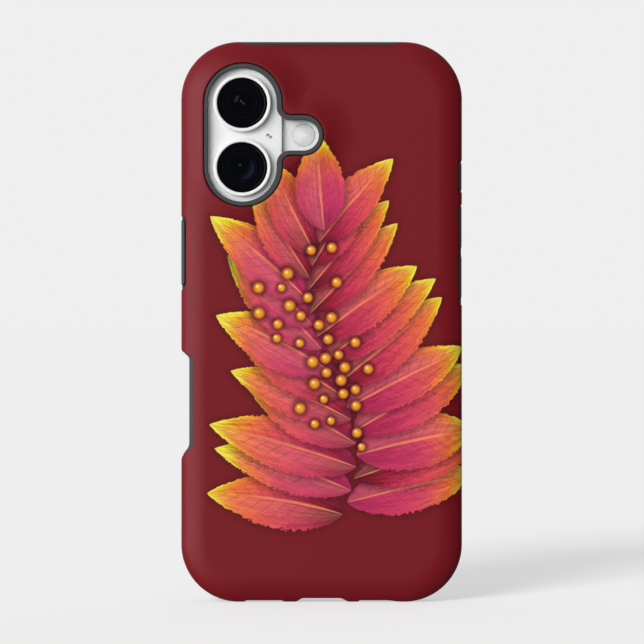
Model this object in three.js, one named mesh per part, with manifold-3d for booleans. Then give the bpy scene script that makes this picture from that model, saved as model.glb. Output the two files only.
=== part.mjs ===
// A slim phone in a two-layer protective case, standing on its bottom edge.
// Millimetres. X runs to the right seen from behind, Y from the case's back to the screen, Z up.
// The case is a hard printed shell snapped over a soft liner that holds the phone.

import * as THREE from "three";
import { mergeVertices } from "three/addons/utils/BufferGeometryUtils.js";
import Module from "manifold-3d";

const wasm = await Module();
wasm.setup();

// ---------------------------------------------------------------- driving dimensions

const GAP = 0.1; // between pieces that fit into each other
const BEYOND = 2; // how far a cut runs past what it cuts
const ARC_STEPS = 5; // half the number of steps in a quarter turn
const ROUND = { wide: 40, middling: 24, small: 12, tiny: 8 }; // sides of round pieces

const PHONE = { width: 71.6, height: 147.6, corner: 11.9, back: -2.55, front: 5.25, edge: 1.3 };
const WALL = 2.4; // both layers together, round the phone's sides
const CASE = {
  half: PHONE.width / 2 + WALL,
  height: PHONE.height + 2 * WALL,
  corner: PHONE.corner + WALL,
};

// Insets are measured inwards from the case's outline, depths along Y.
const SHELL = { wall: 0.9, back: -4.95, floor: -3.8, front: 3.5, roundWide: 7, roundDeep: 3 };
const LINER = { wall: 1.3, back: -3.7, floor: -2.7, front: 6.25, lipInset: 3.3, edge: 1 };

// The camera window: an upright pill with a lobe for the flash.
const PILL = { x: -21.25, low: 118.35, high: 135.95, half: 10.75 };
const LOBE = { x: -5, z: 127.2, half: 5.7 };
const HOLLOW_CORNER = 2.2; // where the lobe leaves the pill
const BOSS = { top: -6.1, flat: 0.8, slopeWide: 8.4, slopeDeep: 2.3, edgeWide: 5.2 };
const POCKET = { grow: 2.5, roof: -5 };
const COLLAR = { rim: 1.3, innerX: -21.55, edge: 0.2, underside: -4.3 };
const PLATEAU = { x: -21.7, top: -4.15, half: 9.8, skirt: 1.2, clearance: 0.2 };

const LENSES = [
  { name: "upper", x: -21.7, z: 135.98 },
  { name: "lower", x: -21.7, z: 118.39 },
];
const LENS = { ring: 7.75, glass: 6.85, seat: 6.2, top: -6.05, glassTop: -5.85, shelf: -5.2, soft: 0.25 };
const BARREL = { radius: 5.6, hole: 5.9, top: -5.1, box: 14.4, boxBack: -1.6, boxFront: 2.2 };
const FLASH = { x: -5, z: 127.1, radius: 3.15, lamp: 2.4, lampBack: -1.75, lampFront: -1.25 };
const MICROPHONE = { x: -14.3, z: 126.9, hole: 0.45, can: 2.6, canBack: -1.75, canFront: -0.75 };

// Side buttons: the phone's own button, and the case's cover over it. side is -1 or 1 along X.
const BUTTONS = [
  { name: "side_button", side: -1, low: 87.6, high: 102.4, coverLow: 86.2, coverHigh: 103.9 },
  { name: "action_button", side: 1, low: 113, high: 118.2, coverLow: 111.9, coverHigh: 119.4 },
  { name: "volume_up_button", side: 1, low: 97.2, high: 106.6, coverLow: 96.2, coverHigh: 107.7 },
  { name: "volume_down_button", side: 1, low: 83.6, high: 93, coverLow: 82.6, coverHigh: 94.1 },
];
const CAMERA_BUTTON = { name: "camera_button", side: -1, low: 46.2, high: 63.4, proud: -0.05 };
const BUTTON = { y: 1.35, half: 1.3, proud: 0.5, depth: 2.3, soft: 0.2, reliefEnd: 1 };
const COVER = { back: -3.4, front: 4, rightReach: 38.08, rim: 0.5, rimRamp: 0.3, rootBack: -1.4, corner: 1 };

// Dips in the case's edge: a flat floor between two S-shaped ramps.
const CAMERA_BUTTON_DIP = { from: 38.4, to: 68.9, liner: 2.2, shell: 3.3, rampFrom: 5.2, rampTo: 3 };
const CAMERA_BUTTON_GAP = { x: [-CASE.half, -34.6], y: [-2.1, PHONE.front + GAP], z: [42.2, 67.3] };
const TOP_DIP = { from: -22.2, to: 21.9, depth: 0.93, ramp: 2.5 };
const LEFT_COVER_DIP = { from: 84.7, to: 105, depth: 1.25, ramp: 0.6 };
const RIGHT_DIPS = [
  { from: 80.5, to: 108.3 },
  { from: 111.2, to: 120.3 },
];
const RIGHT_DIP = { depth: 0.55, ramp: 0.8 };
const BOTTOM_DIPS = [
  { from: -21.4, to: -9.9, depth: 0.46, rampFrom: 1.2, rampTo: 1.2 },
  { from: -7.6, to: 8.1, depth: 1.09, rampFrom: 2.9, rampTo: 3.6 },
  { from: 9.6, to: 22.4, depth: 0.46, rampFrom: 1, rampTo: 5.4 },
];

// Ports in the bottom edge.
const PORT = { half: 6.6, back: -1.1, front: 3.8, round: 1.6 };
const SLOTS = [
  { from: -20.9, to: -10.5 },
  { from: 10.5, to: 20.9 },
];
const SLOT = { back: -0.6, front: 3.3, round: 1.6 };
const SOCKET = { half: 4.45, high: 1.55, wall: 0.35, mouth: 2.9, back: 9.6, floor: 8.8 };
const TONGUE = { half: 3.3, thick: 0.7, mouth: 3.7 };
const GRILLE = { first: 11.2, pitch: 1.8, count: 5, radius: 0.55 };
const SCREW = { x: 5.75, radius: 0.7, length: 2.2 };

// Inside the phone.
const BAND = { wall: 2, rebate: 1.2, rebateBack: -1.75, rebateFront: 4.4 };
const MIDPLATE = { back: 2.35, front: 2.95, low: 16, high: 136 };
const GLASS = { backInner: -1.85, frontInner: 4.5, inset: 3.7 };
const PANEL = { back: 3.05, front: 4.3, inset: 4.6 };
const FRONT_CAMERA = { x: 0, z: 141.5, radius: 1.9, hole: 2.1, box: 6 };
const RECEIVER_SLOT = { half: 5, z: 148.2, high: 0.22 };
const COIL = { x: 0, z: 70, inner: 13, outer: 22, back: -1.8, front: -1.4 };
const MAGNETS = { inner: 24, outer: 27.4 };
const FLEX = { outer: 33.7, inner: 33.3, back: -0.8, front: 2.2 };
const BATTERY = { left: -11.5, right: 32, low: 22, high: 106, back: -1.3, corner: 2 };
const BOARD = { x: [-33, -13], y: [1.45, MIDPLATE.back - GAP], z: [22, 108] };
const SHIELD = { x: [-31.5, -14.5], y: [-0.4, 1.4], z: [40, 100], sheet: 0.3 };
const BLOCK_Y = [-1.6, 2.9]; // back and front of the small blocks at the phone's two ends
const LOUDSPEAKER = { x: [8, 25.5], y: BLOCK_Y, z: [4.7, 12.5] };
const HAPTIC_MOTOR = { x: [-25.5, -8], y: BLOCK_Y, z: [4.7, 12.5] };
const EARPIECE = { x: [-7, 7], y: BLOCK_Y, z: [145, 147.8] };

// ---------------------------------------------------------------- outlines

// The case's rounded outline, drawn inset by so many millimetres.
function caseOutline(inset) {
  const half = CASE.half - inset;
  const top = CASE.height - inset;
  return roundedBox(-half, inset, half, top, CASE.corner - inset);
}

function roundedBox(left, low, right, high, radius) {
  const outline = new THREE.Shape();
  outline.absarc(right - radius, high - radius, radius, 0, Math.PI / 2, false);
  outline.absarc(left + radius, high - radius, radius, Math.PI / 2, Math.PI, false);
  outline.absarc(left + radius, low + radius, radius, Math.PI, 1.5 * Math.PI, false);
  outline.absarc(right - radius, low + radius, radius, 1.5 * Math.PI, 2 * Math.PI, false);
  outline.closePath();
  return outline;
}

// Two round ends on the points a and b, joined by straight sides.
function stadium(ax, ay, bx, by, radius) {
  const turn = Math.atan2(by - ay, bx - ax);
  const outline = new THREE.Shape();
  outline.absarc(bx, by, radius, turn - Math.PI / 2, turn + Math.PI / 2, false);
  outline.absarc(ax, ay, radius, turn + Math.PI / 2, turn + 1.5 * Math.PI, false);
  outline.closePath();
  return outline;
}

function pillOutline(grow) {
  return stadium(PILL.x, PILL.low, PILL.x, PILL.high, PILL.half + grow);
}

function lobeOutline(grow) {
  return stadium(PILL.x, LOBE.z, LOBE.x, LOBE.z, LOBE.half + grow);
}

// The whole window, with the hollow corners where the lobe leaves the pill.
function windowOutline(grow, pillX = PILL.x) {
  const half = PILL.half + grow;
  const reach = LOBE.half + grow;
  const hollow = HOLLOW_CORNER - grow;
  const corner = pillX + half + hollow;
  const outline = new THREE.Shape();
  outline.absarc(pillX, PILL.low, half, Math.PI, 2 * Math.PI, false);
  outline.absarc(corner, LOBE.z - reach - hollow, hollow, Math.PI, Math.PI / 2, true);
  outline.absarc(LOBE.x, LOBE.z, reach, -Math.PI / 2, Math.PI / 2, false);
  outline.absarc(corner, LOBE.z + reach + hollow, hollow, -Math.PI / 2, -Math.PI, true);
  outline.absarc(pillX, PILL.high, half, 0, Math.PI, false);
  outline.closePath();
  return outline;
}

// A dip in one edge of the case, from outside the edge to its floor.
function dipOutline(edge, from, to, depth, rampFrom, rampTo) {
  const place = {
    bottom: (along, inwards) => [along, inwards],
    top: (along, inwards) => [along, CASE.height - inwards],
    left: (along, inwards) => [-CASE.half + inwards, along],
    right: (along, inwards) => [CASE.half - inwards, along],
  }[edge];
  const outline = new THREE.Shape();
  const ramp = (start, end, startDepth, endDepth) => {
    const middle = (start + end) / 2;
    const [ax, ay] = place(middle, startDepth);
    const [bx, by] = place(middle, endDepth);
    const [cx, cy] = place(end, endDepth);
    outline.bezierCurveTo(ax, ay, bx, by, cx, cy);
  };
  outline.moveTo(...place(from, -BEYOND));
  outline.lineTo(...place(from, 0));
  ramp(from, from + rampFrom, 0, depth);
  outline.lineTo(...place(to - rampTo, depth));
  ramp(to - rampTo, to, depth, 0);
  outline.lineTo(...place(to, -BEYOND));
  outline.closePath();
  return outline;
}

// A flat ring, drawn about a place in X and Z.
function ringOutline(x, z, outer, inner) {
  const outline = new THREE.Shape();
  outline.absarc(x, z, outer, 0, 2 * Math.PI, false);
  const hole = new THREE.Path();
  hole.absarc(x, z, inner, 0, 2 * Math.PI, true);
  outline.holes.push(hole);
  return outline;
}

// ---------------------------------------------------------------- solids

function solid(geometry) {
  geometry.deleteAttribute("normal");
  geometry.deleteAttribute("uv");
  const merged = mergeVertices(geometry, 1e-4);
  return new wasm.Manifold(
    new wasm.Mesh({
      numProp: 3,
      vertProperties: merged.attributes.position.array,
      triVerts: new Uint32Array(merged.index.array),
    }),
  );
}

const SHARP = { wide: 0, deep: 0, steps: 1 };
const Y_Z_ALONG_X = new THREE.Matrix4().makeBasis(
  new THREE.Vector3(0, 1, 0),
  new THREE.Vector3(0, 0, 1),
  new THREE.Vector3(1, 0, 0),
);

// An outline pushed from one place to another along an axis. Its points are (X, Z) along y,
// (Y, Z) along x and (X, Y) along z. Round edges grow outwards from the outline at both ends.
function prism(outline, axis, from, to, round = SHARP) {
  const geometry = new THREE.ExtrudeGeometry(outline, {
    depth: to - from - 2 * round.deep,
    bevelEnabled: round.deep > 0,
    bevelSize: round.wide,
    bevelThickness: round.deep,
    bevelSegments: round.steps,
    curveSegments: ARC_STEPS,
  });
  if (axis === "y") geometry.rotateX(Math.PI / 2).translate(0, to - round.deep, 0);
  if (axis === "x") geometry.applyMatrix4(Y_Z_ALONG_X).translate(from + round.deep, 0, 0);
  if (axis === "z") geometry.translate(0, 0, from + round.deep);
  return solid(geometry);
}

// A box between two limits along each axis.
function box({ x, y, z }) {
  const geometry = new THREE.BoxGeometry(x[1] - x[0], y[1] - y[0], z[1] - z[0]);
  geometry.translate((x[0] + x[1]) / 2, (y[0] + y[1]) / 2, (z[0] + z[1]) / 2);
  return solid(geometry);
}

// The limits of something so wide, centred on a place.
function about(centre, wide) {
  return [centre - wide / 2, centre + wide / 2];
}

// A round bar along Y.
function bar(x, z, radius, y0, y1, sides = ROUND.middling) {
  const geometry = new THREE.CylinderGeometry(radius, radius, y1 - y0, sides);
  geometry.translate(x, (y0 + y1) / 2, z);
  return solid(geometry);
}

// A profile of [radius, Y] points turned about an axis along Y.
function turned(profile, x, z, sides = ROUND.wide) {
  const points = [...profile, profile[0]].map(([radius, y]) => new THREE.Vector2(radius, y));
  const geometry = new THREE.LatheGeometry(points, sides);
  geometry.translate(x, 0, z);
  return solid(geometry);
}

// The rounded-back form that both layers of the case follow, each at its own inset and depth.
function backForm(inset, back, steps = 6) {
  const wide = SHELL.roundWide - inset;
  const deep = SHELL.back + SHELL.roundDeep - back;
  return prism(caseOutline(SHELL.roundWide), "y", back, LINER.front + deep, { wide, deep, steps });
}

// ---------------------------------------------------------------- the case

const caseForm = backForm(0, SHELL.back);

// Everything in front of a depth, wide enough for the whole case.
function inFront(y) {
  return box({
    x: [-CASE.half - BEYOND, CASE.half + BEYOND],
    y: [y, LINER.front + 2 * BEYOND],
    z: [-BEYOND, CASE.height + BEYOND],
  });
}

function edgeDip(edge, dip, depth, back = BOSS.top - BEYOND, front = LINER.front + BEYOND) {
  const rampFrom = dip.rampFrom ?? dip.ramp;
  const rampTo = dip.rampTo ?? dip.ramp;
  return prism(dipOutline(edge, dip.from, dip.to, depth, rampFrom, rampTo), "y", back, front);
}

function portCuts(openFront) {
  const front = (cut) => (openFront ? SHELL.front + BEYOND : cut.front);
  const port = roundedBox(-PORT.half, PORT.back, PORT.half, front(PORT), PORT.round);
  const slots = SLOTS.map(({ from, to }) => roundedBox(from, SLOT.back, to, front(SLOT), SLOT.round));
  return [port, ...slots].map((outline) => prism(outline, "z", -BEYOND, CASE.corner));
}

const bottomDips = BOTTOM_DIPS.map((dip) => edgeDip("bottom", dip, dip.depth));

function buildShell() {
  const slope = { wide: BOSS.slopeWide, deep: BOSS.slopeDeep, steps: 1 };
  const bossFront = BOSS.top + 2 * BOSS.slopeDeep + BEYOND;
  const tallDeep = SHELL.back + SHELL.roundDeep - BOSS.top;
  const tallRound = { wide: BOSS.edgeWide, deep: tallDeep, steps: 6 };
  const tallForm = prism(caseOutline(BOSS.edgeWide), "y", BOSS.top, LINER.front + tallDeep, tallRound);
  const boss = prism(pillOutline(BOSS.flat), "y", BOSS.top, bossFront, slope)
    .add(prism(lobeOutline(BOSS.flat), "y", BOSS.top, bossFront, slope))
    .intersect(tallForm);
  const pocket = prism(pillOutline(POCKET.grow), "y", POCKET.roof, SHELL.floor + BEYOND)
    .add(prism(lobeOutline(POCKET.grow), "y", POCKET.roof, SHELL.floor + BEYOND));
  let shell = caseForm
    .add(boss)
    .subtract(inFront(SHELL.front))
    .subtract(backForm(SHELL.wall, SHELL.floor))
    .subtract(pocket)
    .subtract(prism(windowOutline(0), "y", BOSS.top - BEYOND, SHELL.floor + BEYOND))
    .subtract(edgeDip("top", TOP_DIP, TOP_DIP.depth))
    .subtract(edgeDip("left", LEFT_COVER_DIP, LEFT_COVER_DIP.depth))
    .subtract(edgeDip("left", CAMERA_BUTTON_DIP, CAMERA_BUTTON_DIP.shell));
  for (const dip of RIGHT_DIPS) {
    shell = shell.subtract(edgeDip("right", { ...dip, ...RIGHT_DIP }, RIGHT_DIP.depth));
  }
  for (const { side, coverLow, coverHigh } of BUTTONS) {
    if (side < 0) continue;
    const notch = { from: coverLow - COVER.rim, to: coverHigh + COVER.rim, ramp: COVER.rimRamp };
    shell = shell.subtract(edgeDip("right", notch, SHELL.wall + GAP));
  }
  for (const cut of [...bottomDips, ...portCuts(true)]) shell = shell.subtract(cut);
  return shell;
}

// A soft cover over a button: it fills its notch in the shell out to the case's own form,
// on a root that joins it to the liner's wall in front of the rounded edge.
function buttonCover({ side, coverLow, coverHigh }) {
  const reach = side < 0 ? CASE.half : COVER.rightReach;
  const across = (back, inner) => {
    const pad = roundedBox(back, coverLow, COVER.front + BEYOND, coverHigh, COVER.corner);
    return side < 0 ? prism(pad, "x", -reach, -inner) : prism(pad, "x", inner, reach);
  };
  return across(COVER.back, CASE.half - SHELL.wall)
    .add(across(COVER.rootBack, CASE.half - LINER.wall))
    .intersect(caseForm)
    .subtract(inFront(COVER.front));
}

function buildLiner() {
  const softEdge = { wide: LINER.edge, deep: LINER.edge, steps: 3 };
  const bumperBack = SHELL.front + GAP;
  const bumper = prism(caseOutline(LINER.edge), "y", 0, LINER.front, softEdge)
    .intersect(inFront(bumperBack));
  const bezelRoof = POCKET.roof + GAP;
  const bezel = prism(pillOutline(POCKET.grow - GAP), "y", bezelRoof, LINER.floor)
    .add(prism(lobeOutline(POCKET.grow - GAP), "y", bezelRoof, LINER.floor));
  const rimEdge = { wide: COLLAR.edge, deep: COLLAR.edge, steps: 2 };
  const rim = prism(windowOutline(-GAP - COLLAR.edge), "y", -LINER.front, LINER.back, rimEdge);
  const topRidge = caseForm
    .intersect(edgeDip("top", TOP_DIP, TOP_DIP.depth - GAP, SHELL.back, COVER.front));
  const phoneSpace = prism(
    caseOutline(WALL - GAP + PHONE.edge),
    "y",
    LINER.floor,
    PHONE.front + GAP,
    { wide: PHONE.edge, deep: PHONE.edge, steps: 3 },
  );
  const skirtSpace = stadium(
    PLATEAU.x,
    PILL.low,
    PLATEAU.x,
    PILL.high,
    PLATEAU.half + PLATEAU.skirt + PLATEAU.clearance,
  );
  let liner = backForm(SHELL.wall + GAP, LINER.back)
    .subtract(inFront(bumperBack + GAP))
    .add(bumper)
    .add(bezel)
    .add(rim)
    .add(topRidge);
  for (const button of BUTTONS) liner = liner.add(buttonCover(button));
  liner = liner
    .subtract(phoneSpace)
    .subtract(prism(caseOutline(LINER.lipInset), "y", PHONE.front - BEYOND, LINER.front + BEYOND))
    .subtract(prism(windowOutline(-COLLAR.rim, COLLAR.innerX), "y", -LINER.front - BEYOND, PHONE.back))
    .subtract(prism(skirtSpace, "y", COLLAR.underside, PHONE.back))
    .subtract(edgeDip("left", CAMERA_BUTTON_DIP, CAMERA_BUTTON_DIP.liner))
    .subtract(box(CAMERA_BUTTON_GAP));
  for (const { side, low, high } of BUTTONS) {
    const reliefDepth = PHONE.width / 2 + BUTTON.proud + 2 * GAP;
    const ends = [low + BUTTON.reliefEnd, high - BUTTON.reliefEnd];
    const relief = stadium(BUTTON.y, ends[0], BUTTON.y, ends[1], BUTTON.half + 2 * GAP);
    const span = side < 0 ? [-reliefDepth, -FLEX.inner] : [FLEX.inner, reliefDepth];
    liner = liner.subtract(prism(relief, "x", ...span));
  }
  for (const cut of [...bottomDips, ...portCuts(false)]) liner = liner.subtract(cut);
  return liner;
}

// ---------------------------------------------------------------- the phone

function buttonOutline({ low, high }, grow) {
  const end = BUTTON.half;
  return stadium(BUTTON.y, low + end, BUTTON.y, high - end, end + grow);
}

function socketOutline(grow) {
  const end = SOCKET.half - SOCKET.high;
  return stadium(-end, BUTTON.y, end, BUTTON.y, SOCKET.high + grow);
}

function buildBand() {
  const round = { wide: PHONE.edge, deep: PHONE.edge, steps: 3 };
  const openInside = caseOutline(WALL + BAND.wall);
  const rebate = caseOutline(WALL + BAND.rebate);
  const plateBox = {
    x: [-CASE.half, CASE.half],
    y: [MIDPLATE.back, MIDPLATE.front],
    z: [MIDPLATE.low, MIDPLATE.high],
  };
  const midplate = prism(caseOutline(WALL + BAND.wall - GAP), "y", PHONE.back, PHONE.front)
    .intersect(box(plateBox));
  let band = prism(caseOutline(WALL + PHONE.edge), "y", PHONE.back, PHONE.front, round)
    .subtract(prism(openInside, "y", PHONE.back - BEYOND, PHONE.front + BEYOND))
    .subtract(prism(rebate, "y", PHONE.back - BEYOND, BAND.rebateBack))
    .subtract(prism(rebate, "y", BAND.rebateFront, PHONE.front + BEYOND))
    .add(midplate);
  for (const button of [...BUTTONS, CAMERA_BUTTON]) {
    const slot = buttonOutline(button, GAP);
    const span = button.side < 0 ? [-CASE.half, GAP - FLEX.inner] : [FLEX.inner - GAP, CASE.half];
    band = band.subtract(prism(slot, "x", ...span));
  }
  const y = BUTTON.y;
  const through = WALL + BAND.wall + BEYOND;
  band = band.subtract(prism(socketOutline(GAP), "z", 0, through));
  for (const side of [-1, 1]) {
    band = band.subtract(upright(side * SCREW.x, y, SCREW.radius + GAP, 0, through));
    for (let i = 0; i < GRILLE.count; i++) {
      const x = side * (GRILLE.first + i * GRILLE.pitch);
      band = band.subtract(upright(x, y, GRILLE.radius, 0, through, ROUND.tiny));
    }
  }
  return band;
}

// A round bar along Z.
function upright(x, y, radius, z0, z1, sides = ROUND.small) {
  const geometry = new THREE.CylinderGeometry(radius, radius, z1 - z0, sides);
  geometry.rotateX(Math.PI / 2).translate(x, y, (z0 + z1) / 2);
  return solid(geometry);
}

// The back is one piece of coloured glass, drawn up into the pill that carries the lenses.
function buildBackGlass() {
  const skirt = { wide: PLATEAU.skirt, deep: PHONE.back - PLATEAU.top, steps: 3 };
  const pill = stadium(PLATEAU.x, PILL.low, PLATEAU.x, PILL.high, PLATEAU.half);
  const plateau = prism(pill, "y", PLATEAU.top, PLATEAU.top + 2 * skirt.deep + GAP, skirt)
    .subtract(inFront(GLASS.backInner - GAP));
  let glass = prism(caseOutline(GLASS.inset), "y", PHONE.back, GLASS.backInner).add(plateau);
  for (const { x, z } of LENSES) {
    glass = glass.subtract(bar(x, z, BARREL.hole, PLATEAU.top - BEYOND, 0, ROUND.wide));
  }
  return glass
    .subtract(bar(FLASH.x, FLASH.z, FLASH.radius + GAP, PHONE.back - BEYOND, 0))
    .subtract(bar(MICROPHONE.x, MICROPHONE.z, MICROPHONE.hole, PLATEAU.top - BEYOND, 0, ROUND.tiny));
}

function buildDisplayGlass() {
  const { half, z, high } = RECEIVER_SLOT;
  return prism(caseOutline(GLASS.inset), "y", GLASS.frontInner, PHONE.front)
    .subtract(prism(stadium(-half, z, half, z, high), "y", PHONE.front - BEYOND, PHONE.front + BEYOND));
}

function buildLensRing({ x, z }) {
  const seat = PLATEAU.top - GAP / 2;
  const profile = [
    [LENS.seat, seat],
    [LENS.ring, seat],
    [LENS.ring, LENS.top + LENS.soft],
    [LENS.ring - LENS.soft, LENS.top],
    [LENS.glass + GAP, LENS.top],
    [LENS.glass + GAP, LENS.shelf],
    [LENS.seat, LENS.shelf],
  ];
  return turned(profile.reverse(), x, z);
}

function buildLensGlass({ x, z }) {
  return bar(x, z, LENS.glass, LENS.glassTop, LENS.shelf - GAP / 2, ROUND.wide);
}

function buildCameraModule({ x, z }) {
  const { box: wide, boxBack, boxFront, radius, top } = BARREL;
  return box({ x: about(x, wide), y: [boxBack, boxFront], z: about(z, wide) })
    .add(bar(x, z, radius, top, 0, ROUND.wide));
}

function buildButton(button) {
  const outerFace = PHONE.width / 2 + (button.proud ?? BUTTON.proud);
  const inner = PHONE.width / 2 + BUTTON.proud - BUTTON.depth;
  const soft = { wide: BUTTON.soft, deep: BUTTON.soft, steps: 1 };
  const span = button.side < 0 ? [-outerFace, -inner] : [inner, outerFace];
  return prism(buttonOutline(button, -soft.wide), "x", ...span, soft);
}

function buildSocket() {
  const { wall, mouth, back, floor } = SOCKET;
  const tongue = {
    x: [-TONGUE.half, TONGUE.half],
    y: about(BUTTON.y, TONGUE.thick),
    z: [TONGUE.mouth, floor + GAP],
  };
  return prism(socketOutline(0), "z", mouth, back)
    .subtract(prism(socketOutline(-wall), "z", mouth - BEYOND, floor))
    .add(box(tongue));
}

// A tray of thin sheet, open towards the circuit board.
function buildShieldCan() {
  const { x, y, z, sheet } = SHIELD;
  const inside = {
    x: [x[0] + sheet, x[1] - sheet],
    y: [y[0] + sheet, y[1] + BEYOND],
    z: [z[0] + sheet, z[1] - sheet],
  };
  return box(SHIELD).subtract(box(inside));
}

function buildDisplayPanel() {
  const { x, z, hole } = FRONT_CAMERA;
  return prism(caseOutline(PANEL.inset), "y", PANEL.back, PANEL.front)
    .subtract(bar(x, z, hole, PANEL.back - BEYOND, PANEL.front + BEYOND));
}

function buildFrontCamera() {
  const { x, z, radius, box: wide } = FRONT_CAMERA;
  return box({ x: about(x, wide), y: BLOCK_Y, z: about(z, wide) })
    .add(bar(x, z, radius, 0, GLASS.frontInner - GAP));
}

// The strip along each wall that carries the domes under the buttons.
function buildKeyFlex(side) {
  const buttons = [...BUTTONS, CAMERA_BUTTON].filter((button) => button.side === side);
  const low = Math.min(...buttons.map((button) => button.low));
  const high = Math.max(...buttons.map((button) => button.high));
  const span = side < 0 ? [-FLEX.outer, -FLEX.inner] : [FLEX.inner, FLEX.outer];
  return box({ x: span, y: [FLEX.back, FLEX.front], z: [low, high] });
}

function buildFlashLamp() {
  const { x, z, lamp, lampBack, lampFront } = FLASH;
  return box({ x: about(x, lamp), y: [lampBack, lampFront], z: about(z, lamp) });
}

function buildMicrophone() {
  const { x, z, can, canBack, canFront } = MICROPHONE;
  return box({ x: about(x, can), y: [canBack, canFront], z: about(z, can) });
}

function buildBattery() {
  const { left, low, right, high, corner, back } = BATTERY;
  return prism(roundedBox(left, low, right, high, corner), "y", back, MIDPLATE.back - GAP);
}

function buildCoilRing({ outer, inner }) {
  return prism(ringOutline(COIL.x, COIL.z, outer, inner), "y", COIL.back, COIL.front);
}

// ---------------------------------------------------------------- the scene graph

const FINISHES = {
  printedShell: { color: 0x79242b, roughness: 0.42, metalness: 0 },
  softLiner: { color: 0x46484b, roughness: 0.7, metalness: 0 },
  aluminium: { color: 0xd9dadd, roughness: 0.35, metalness: 1 },
  whiteGlass: { color: 0xe9eaec, roughness: 0.25, metalness: 0 },
  blackGlass: { color: 0x0b0c10, roughness: 0.08, metalness: 0 },
  screen: { color: 0x101014, roughness: 0.5, metalness: 0 },
  whiteRing: { color: 0xf4f3f0, roughness: 0.3, metalness: 0.2 },
  clearGlass: { color: 0xeceeed, roughness: 0.12, metalness: 0 },
  lamp: { color: 0xf4e9b8, roughness: 0.5, metalness: 0 },
  foil: { color: 0x2a2b2e, roughness: 0.6, metalness: 0 },
  board: { color: 0x1d3a2c, roughness: 0.6, metalness: 0 },
  steel: { color: 0xb5b7ba, roughness: 0.35, metalness: 1 },
  copper: { color: 0xb06a3c, roughness: 0.4, metalness: 1 },
  moulding: { color: 0x232427, roughness: 0.55, metalness: 0 },
};

function piece(group, name, made, finish) {
  const { numProp, vertProperties, triVerts } = made.getMesh();
  const positions = new THREE.InterleavedBuffer(vertProperties, numProp);
  const geometry = new THREE.BufferGeometry();
  geometry.setAttribute("position", new THREE.InterleavedBufferAttribute(positions, 3, 0));
  geometry.setIndex(new THREE.BufferAttribute(triVerts, 1));
  const material = new THREE.MeshStandardMaterial({ ...FINISHES[finish], flatShading: true });
  const mesh = new THREE.Mesh(geometry, material);
  mesh.name = name;
  group.add(mesh);
}

const protectiveCase = new THREE.Group();
piece(protectiveCase, "outer_shell", buildShell(), "printedShell");
piece(protectiveCase, "inner_liner", buildLiner(), "softLiner");

const phone = new THREE.Group();
piece(phone, "phone_frame", buildBand(), "aluminium");
piece(phone, "back_glass", buildBackGlass(), "whiteGlass");
piece(phone, "display_glass", buildDisplayGlass(), "clearGlass");
piece(phone, "display_panel", buildDisplayPanel(), "screen");
for (const lens of LENSES) {
  piece(phone, `${lens.name}_lens_ring`, buildLensRing(lens), "whiteRing");
  piece(phone, `${lens.name}_lens_glass`, buildLensGlass(lens), "blackGlass");
  piece(phone, `${lens.name}_camera_module`, buildCameraModule(lens), "moulding");
}
piece(
  phone,
  "flash_window",
  bar(FLASH.x, FLASH.z, FLASH.radius, PHONE.back - GAP, GLASS.backInner),
  "clearGlass",
);
piece(phone, "flash_lamp", buildFlashLamp(), "lamp");
piece(phone, "rear_microphone", buildMicrophone(), "steel");
for (const button of [...BUTTONS, CAMERA_BUTTON]) {
  piece(phone, button.name, buildButton(button), "aluminium");
}
piece(phone, "left_key_flex", buildKeyFlex(-1), "copper");
piece(phone, "right_key_flex", buildKeyFlex(1), "copper");
piece(phone, "battery", buildBattery(), "foil");
piece(phone, "logic_board", box(BOARD), "board");
piece(phone, "shield_can", buildShieldCan(), "steel");
piece(phone, "charging_coil", buildCoilRing(COIL), "copper");
piece(phone, "magnet_ring", buildCoilRing(MAGNETS), "steel");
piece(phone, "charge_socket", buildSocket(), "steel");
piece(phone, "loudspeaker", box(LOUDSPEAKER), "moulding");
piece(phone, "haptic_motor", box(HAPTIC_MOTOR), "steel");
piece(phone, "earpiece", box(EARPIECE), "moulding");
piece(phone, "front_camera", buildFrontCamera(), "blackGlass");
for (const [name, side] of [["left", -1], ["right", 1]]) {
  const screw = upright(side * SCREW.x, BUTTON.y, SCREW.radius, WALL + GAP, WALL + SCREW.length);
  piece(phone, `${name}_bottom_screw`, screw, "steel");
}

const casedPhone = new THREE.Group();
casedPhone.add(protectiveCase, phone);

export default casedPhone;
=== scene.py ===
import math
import random

import bpy
import numpy as np
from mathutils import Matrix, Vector
from mathutils.geometry import delaunay_2d_cdt


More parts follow.
